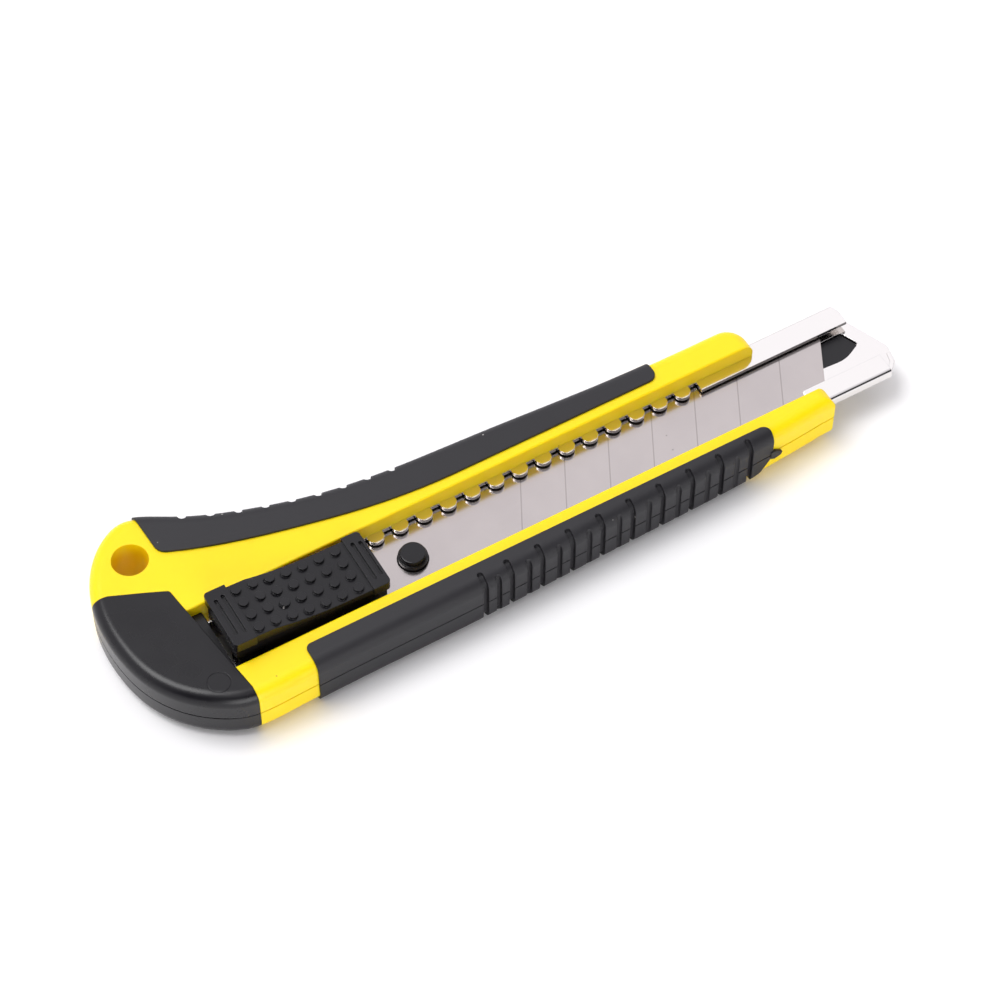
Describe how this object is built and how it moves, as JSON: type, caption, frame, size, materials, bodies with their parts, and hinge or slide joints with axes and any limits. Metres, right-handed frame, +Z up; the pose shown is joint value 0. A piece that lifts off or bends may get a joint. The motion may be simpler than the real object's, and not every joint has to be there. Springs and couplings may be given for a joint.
{
  "type": "utility knife",
  "caption": "Snap-off utility knife with soft grips, toothed steel channel, thumb slider, scored blade and a pull-off end cap.",
  "frame": {"origin": "middle of the footprint, on the surface that the knife lies on", "axes": "+X towards the blade's tip, +Y towards the hump with the lanyard hole, +Z up through the thumb slider"},
  "size_m": [0.1678, 0.0491, 0.0171],
  "materials": {
    "abs_yellow": "moulded ABS, fine satin",
    "tpr_black": "moulded thermoplastic rubber, matt",
    "chrome_steel": "bright chrome plate on stamped steel",
    "black_plastic": "moulded plastic, fine satin",
    "blade_steel": "rolled and ground carbon steel",
    "spring_steel": "rolled spring steel"
  },
  "bodies": {
    "handle": {"handle_body": "abs_yellow", "far_grip": "tpr_black", "near_grip": "tpr_black", "blade_channel": "chrome_steel", "nose_insert": "black_plastic"},
    "slider": {"slider_carrier": "black_plastic", "slider_cap": "black_plastic", "detent_spring": "spring_steel", "blade": "blade_steel"},
    "end_cap": {"end_cap": "black_plastic"}
  },
  "joints": [
    {"name": "slider_travel", "type": "slide", "parent": "handle", "child": "slider", "axis": [1, 0, 0], "range_m": [0, 0.08544], "deforming": ["detent_spring"]},
    {"name": "end_cap_pull", "type": "slide", "parent": "handle", "child": "end_cap", "axis": [-1, 0, 0], "range_m": [0, 0.025]}
  ]
}
